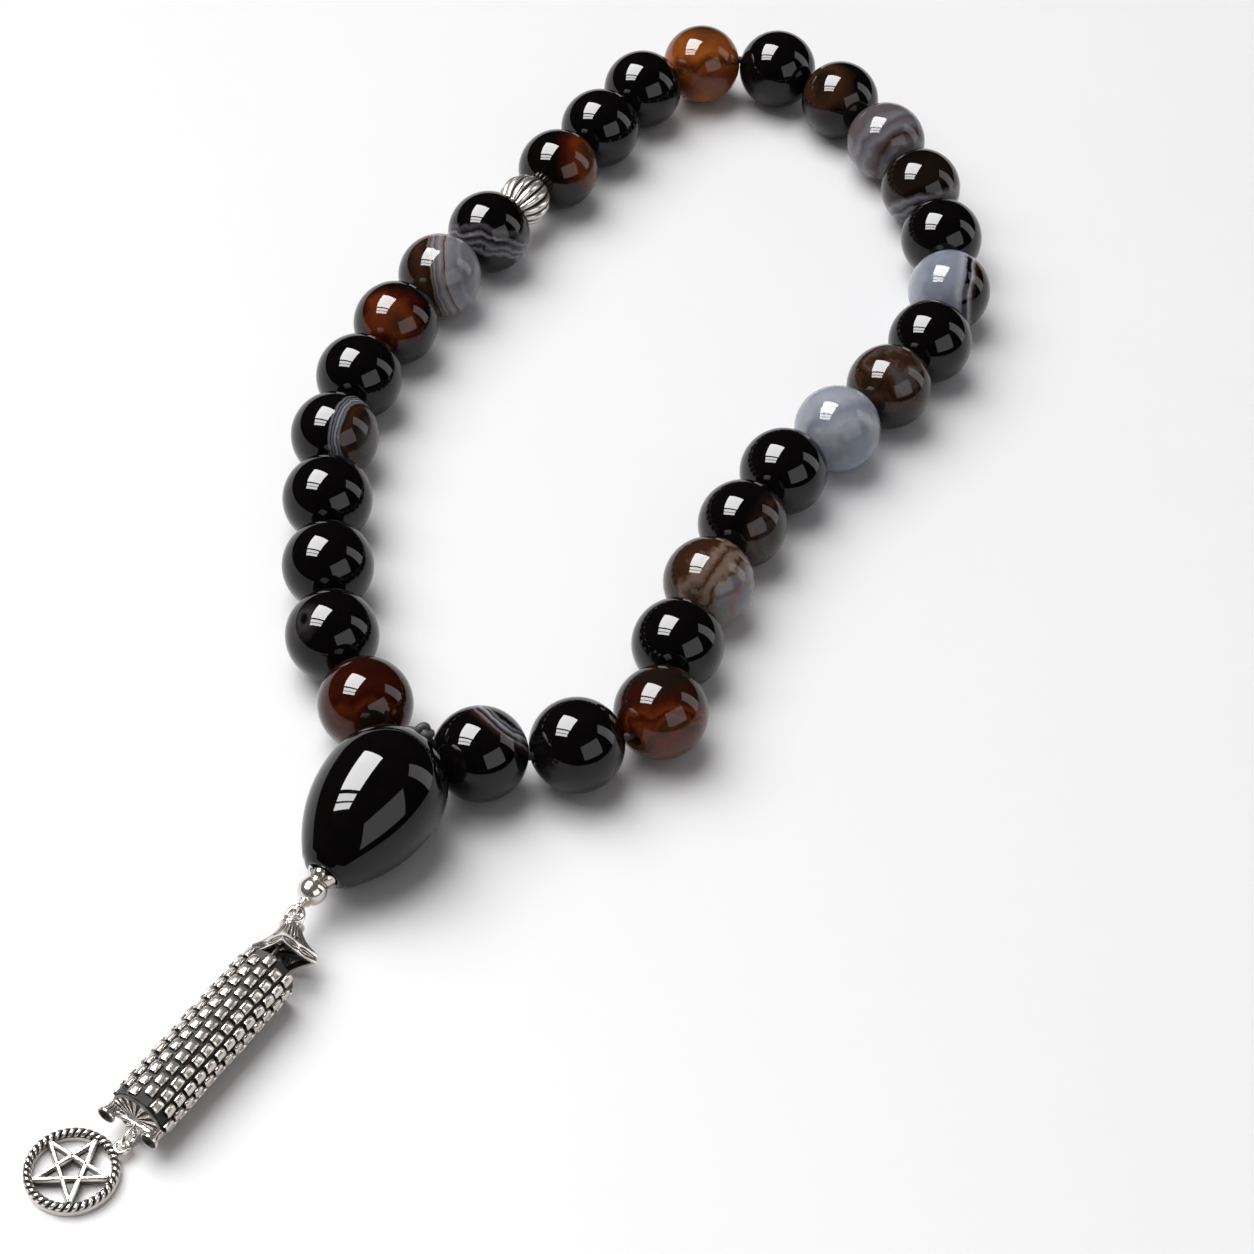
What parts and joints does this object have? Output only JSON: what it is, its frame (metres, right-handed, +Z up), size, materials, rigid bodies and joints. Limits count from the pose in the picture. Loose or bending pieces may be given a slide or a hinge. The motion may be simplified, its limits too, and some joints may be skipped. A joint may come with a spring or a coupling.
{
  "type": "prayer beads",
  "caption": "Loop of round agate prayer beads on a black cord, with a fluted spacer, a drop-shaped leader bead and a linked silver tassel ending in a star medallion.",
  "frame": {"origin": "on the table under the middle of the whole piece", "axes": "+Z up from the table, +Y from the medallion towards the far end of the bead loop, +X to the right"},
  "size_m": [0.0886, 0.1796, 0.0129],
  "materials": {
    "agate_black": "polished black onyx-like agate",
    "agate_brown": "polished translucent brown agate",
    "agate_banded": "polished agate with grey, white and brown bands",
    "agate_pale": "polished pale blue-grey agate",
    "leader_stone": "polished black stone",
    "cord": "matt black braided cord",
    "silver": "polished silver with blackened hollows",
    "dark_metal": "blackened silver"
  },
  "bodies": {
    "strand": {"string": "cord", "string_tail": "cord", "knot": "cord", "eye_pin": "silver"},
    "bell_cap": {"bail": "silver", "collar": "silver", "bell_cap": "silver", "hanger_bar": "dark_metal"},
    "tube": {"core_tube": "dark_metal", "head_bar": "dark_metal", "hanger_link": "dark_metal", "links_01": "silver", "links_02": "silver", "links_03": "silver", "links_04": "silver", "links_05": "silver", "links_06": "silver", "links_07": "silver", "foot_bar": "silver", "prong_left": "silver", "prong_right": "silver", "foot_eyelet": "silver"},
    "jump_ring": {"jump_ring": "silver"},
    "medallion": {"medallion_loop": "silver", "medallion_rim": "silver", "star": "silver"},
    "leader_bead": {"leader_bead": "leader_stone"},
    "round_ball": {"round_ball": "silver", "crown_cap": "silver"},
    "spacer_bead": {"spacer_bead": "silver"},
    "bead_01": {"bead_01": "agate_brown"},
    "bead_02": {"bead_02": "agate_black"},
    "bead_03": {"bead_03": "agate_black"},
    "bead_04": {"bead_04": "agate_black"},
    "bead_05": {"bead_05": "agate_banded"},
    "bead_06": {"bead_06": "agate_black"},
    "bead_07": {"bead_07": "agate_brown"},
    "bead_08": {"bead_08": "agate_banded"},
    "bead_09": {"bead_09": "agate_banded"},
    "bead_10": {"bead_10": "agate_brown"},
    "bead_11": {"bead_11": "agate_black"},
    "bead_12": {"bead_12": "agate_black"},
    "bead_13": {"bead_13": "agate_brown"},
    "bead_14": {"bead_14": "agate_black"},
    "bead_15": {"bead_15": "agate_black"},
    "bead_16": {"bead_16": "agate_banded"},
    "bead_17": {"bead_17": "agate_banded"},
    "bead_18": {"bead_18": "agate_black"},
    "bead_19": {"bead_19": "agate_banded"},
    "bead_20": {"bead_20": "agate_black"},
    "bead_21": {"bead_21": "agate_brown"},
    "bead_22": {"bead_22": "agate_pale"},
    "bead_23": {"bead_23": "agate_black"},
    "bead_24": {"bead_24": "agate_banded"},
    "bead_25": {"bead_25": "agate_banded"},
    "bead_26": {"bead_26": "agate_black"},
    "bead_27": {"bead_27": "agate_brown"},
    "bead_28": {"bead_28": "agate_black"},
    "bead_29": {"bead_29": "agate_banded"}
  },
  "joints": [
    {"name": "tassel_swing", "type": "hinge", "parent": "strand", "child": "bell_cap", "pos_m": [-0.02405, -0.05697, 0.00356], "axis": [0, 0, 1], "range_deg": [-25, 30]},
    {"name": "tube_lift", "type": "hinge", "parent": "bell_cap", "child": "tube", "pos_m": [-0.02444, -0.06137, 0.00322], "axis": [-0.9962, 0.0872, 0], "range_deg": [0, 12]},
    {"name": "ring_lift", "type": "hinge", "parent": "tube", "child": "jump_ring", "pos_m": [-0.03507, -0.08137, 0.00139], "axis": [-0.8829, 0.4695, 0], "range_deg": [0, 20]},
    {"name": "medallion_swing", "type": "hinge", "parent": "jump_ring", "child": "medallion", "pos_m": [-0.03576, -0.08267, 0.00107], "axis": [0, 0, 1], "range_deg": [-20, 40]},
    {"name": "leader_spin", "type": "hinge", "parent": "strand", "child": "leader_bead", "pos_m": [-0.02196, -0.05262, 0.00452], "axis": [0.4239, 0.8847, 0.1942], "continuous": true},
    {"name": "ball_spin", "type": "hinge", "parent": "strand", "child": "round_ball", "pos_m": [-0.02277, -0.0543, 0.00415], "axis": [0.4239, 0.8847, 0.1942], "continuous": true},
    {"name": "spacer_spin", "type": "hinge", "parent": "strand", "child": "spacer_bead", "pos_m": [-0.01244, 0.05305, 0.0049], "axis": [0.475, 0.88, 0], "continuous": true},
    {"name": "bead_01_spin", "type": "hinge", "parent": "strand", "child": "bead_01", "pos_m": [-0.02079, -0.03052, 0.0049], "axis": [-0.5987, 0.7828, -0.1698], "continuous": true},
    {"name": "bead_02_spin", "type": "hinge", "parent": "strand", "child": "bead_02", "pos_m": [-0.02543, -0.02153, 0.0049], "axis": [-0.3242, 0.946, 0], "continuous": true},
    {"name": "bead_03_spin", "type": "hinge", "parent": "strand", "child": "bead_03", "pos_m": [-0.02728, -0.01158, 0.0049], "axis": [-0.163, 0.9866, 0], "continuous": true},
    {"name": "bead_04_spin", "type": "hinge", "parent": "strand", "child": "bead_04", "pos_m": [-0.02873, -0.00157, 0.0049], "axis": [-0.1016, 0.9948, 0], "continuous": true},
    {"name": "bead_05_spin", "type": "hinge", "parent": "strand", "child": "bead_05", "pos_m": [-0.02933, 0.00854, 0.0049], "axis": [0.038, 0.9993, 0], "continuous": true},
    {"name": "bead_06_spin", "type": "hinge", "parent": "strand", "child": "bead_06", "pos_m": [-0.02797, 0.01856, 0.0049], "axis": [0.2137, 0.9769, 0], "continuous": true},
    {"name": "bead_07_spin", "type": "hinge", "parent": "strand", "child": "bead_07", "pos_m": [-0.02502, 0.02825, 0.0049], "axis": [0.3462, 0.9382, 0], "continuous": true},
    {"name": "bead_08_spin", "type": "hinge", "parent": "strand", "child": "bead_08", "pos_m": [-0.02097, 0.03752, 0.0049], "axis": [0.4422, 0.8969, 0], "continuous": true},
    {"name": "bead_09_spin", "type": "hinge", "parent": "strand", "child": "bead_09", "pos_m": [-0.01608, 0.04638, 0.0049], "axis": [0.4813, 0.8766, 0], "continuous": true},
    {"name": "bead_10_spin", "type": "hinge", "parent": "strand", "child": "bead_10", "pos_m": [-0.00886, 0.05976, 0.0049], "axis": [0.4566, 0.8897, 0], "continuous": true},
    {"name": "bead_11_spin", "type": "hinge", "parent": "strand", "child": "bead_11", "pos_m": [-0.00435, 0.06882, 0.0049], "axis": [0.4573, 0.8893, 0], "continuous": true},
    {"name": "bead_12_spin", "type": "hinge", "parent": "strand", "child": "bead_12", "pos_m": [0.00039, 0.07775, 0.0049], "axis": [0.6078, 0.7941, 0], "continuous": true},
    {"name": "bead_13_spin", "type": "hinge", "parent": "strand", "child": "bead_13", "pos_m": [0.00761, 0.08445, 0.0049], "axis": [0.9218, 0.3876, 0], "continuous": true},
    {"name": "bead_14_spin", "type": "hinge", "parent": "strand", "child": "bead_14", "pos_m": [0.01744, 0.08492, 0.0049], "axis": [0.9642, -0.2651, 0], "continuous": true},
    {"name": "bead_15_spin", "type": "hinge", "parent": "strand", "child": "bead_15", "pos_m": [0.02564, 0.07949, 0.0049], "axis": [0.7297, -0.6838, 0], "continuous": true},
    {"name": "bead_16_spin", "type": "hinge", "parent": "strand", "child": "bead_16", "pos_m": [0.03159, 0.07165, 0.0049], "axis": [0.5277, -0.8494, 0], "continuous": true},
    {"name": "bead_17_spin", "type": "hinge", "parent": "strand", "child": "bead_17", "pos_m": [0.03598, 0.06284, 0.0049], "axis": [0.3527, -0.9357, 0], "continuous": true},
    {"name": "bead_18_spin", "type": "hinge", "parent": "strand", "child": "bead_18", "pos_m": [0.0385, 0.05333, 0.0049], "axis": [0.1723, -0.985, 0], "continuous": true},
    {"name": "bead_19_spin", "type": "hinge", "parent": "strand", "child": "bead_19", "pos_m": [0.03936, 0.04353, 0.0049], "axis": [-0.0757, -0.9971, 0], "continuous": true},
    {"name": "bead_20_spin", "type": "hinge", "parent": "strand", "child": "bead_20", "pos_m": [0.03703, 0.03397, 0.0049], "axis": [-0.3639, -0.9314, 0], "continuous": true},
    {"name": "bead_21_spin", "type": "hinge", "parent": "strand", "child": "bead_21", "pos_m": [0.03226, 0.02536, 0.0049], "axis": [-0.5388, -0.8424, 0], "continuous": true},
    {"name": "bead_22_spin", "type": "hinge", "parent": "strand", "child": "bead_22", "pos_m": [0.02645, 0.01742, 0.0049], "axis": [-0.5935, -0.8048, 0], "continuous": true},
    {"name": "bead_23_spin", "type": "hinge", "parent": "strand", "child": "bead_23", "pos_m": [0.02058, 0.00952, 0.0049], "axis": [-0.514, -0.8578, 0], "continuous": true},
    {"name": "bead_24_spin", "type": "hinge", "parent": "strand", "child": "bead_24", "pos_m": [0.01638, 0.00062, 0.0049], "axis": [-0.379, -0.9254, 0], "continuous": true},
    {"name": "bead_25_spin", "type": "hinge", "parent": "strand", "child": "bead_25", "pos_m": [0.01313, -0.00866, 0.0049], "axis": [-0.3054, -0.9522, 0], "continuous": true},
    {"name": "bead_26_spin", "type": "hinge", "parent": "strand", "child": "bead_26", "pos_m": [0.01037, -0.01811, 0.0049], "axis": [-0.2017, -0.9795, 0], "continuous": true},
    {"name": "bead_27_spin", "type": "hinge", "parent": "strand", "child": "bead_27", "pos_m": [0.00918, -0.02788, 0.0049], "axis": [-0.5233, -0.8522, 0], "continuous": true},
    {"name": "bead_28_spin", "type": "hinge", "parent": "strand", "child": "bead_28", "pos_m": [0.00101, -0.03336, 0.0049], "axis": [-0.9141, -0.4055, 0], "continuous": true},
    {"name": "bead_29_spin", "type": "hinge", "parent": "strand", "child": "bead_29", "pos_m": [-0.00854, -0.03574, 0.0049], "axis": [-0.9613, -0.1861, 0.2031], "continuous": true}
  ]
}
